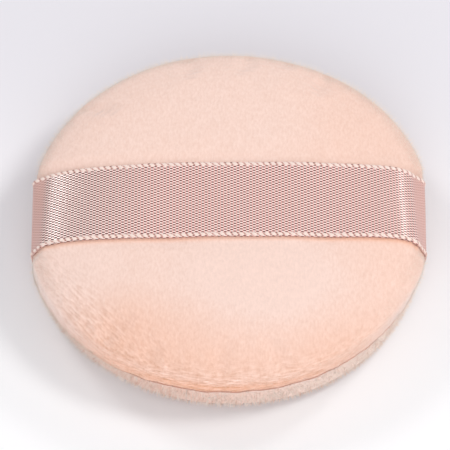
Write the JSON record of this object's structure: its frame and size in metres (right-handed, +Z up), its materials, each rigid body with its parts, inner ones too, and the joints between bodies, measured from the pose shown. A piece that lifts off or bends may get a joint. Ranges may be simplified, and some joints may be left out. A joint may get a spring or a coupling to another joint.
{
  "type": "powder puff",
  "caption": "Round soft powder puff of velour over a foam pad, sewn at the rim, with a satin ribbon across the top as a finger band.",
  "frame": {"origin": "centre of the flat underside, on the surface that the puff lies on", "axes": "+Z up out of the crown, +X along the ribbon to the right, +Y to the back"},
  "size_m": [0.0784, 0.08, 0.0168],
  "materials": {
    "velour": "short peach velour pile, matt with a soft sheen",
    "pale_velour": "longer pale peach velour pile, matt",
    "satin": "woven satin ribbon in dusty pink, glossy along the floats",
    "foam": "open-cell foam, matt off-white",
    "thread": "peach sewing thread, slight gloss"
  },
  "bodies": {
    "base": {"bottom_cover": "pale_velour"},
    "crown": {"top_cover": "velour", "foam_core": "foam", "seam_needle_thread": "thread", "seam_bobbin_thread": "thread", "closing_thread": "thread", "ribbon_left_end": "satin", "ribbon_right_end": "satin"},
    "finger_band": {"ribbon_band": "satin"}
  },
  "joints": [
    {"name": "pad_press", "type": "slide", "parent": "base", "child": "crown", "axis": [0, 0, 1], "range_m": [-0.0035, 0], "stiffness_N_per_m": 600, "deforming": ["bottom_cover", "foam_core"]},
    {"name": "ribbon_lift", "type": "slide", "parent": "crown", "child": "finger_band", "axis": [0, 0, 1], "range_m": [0, 0.008]}
  ]
}
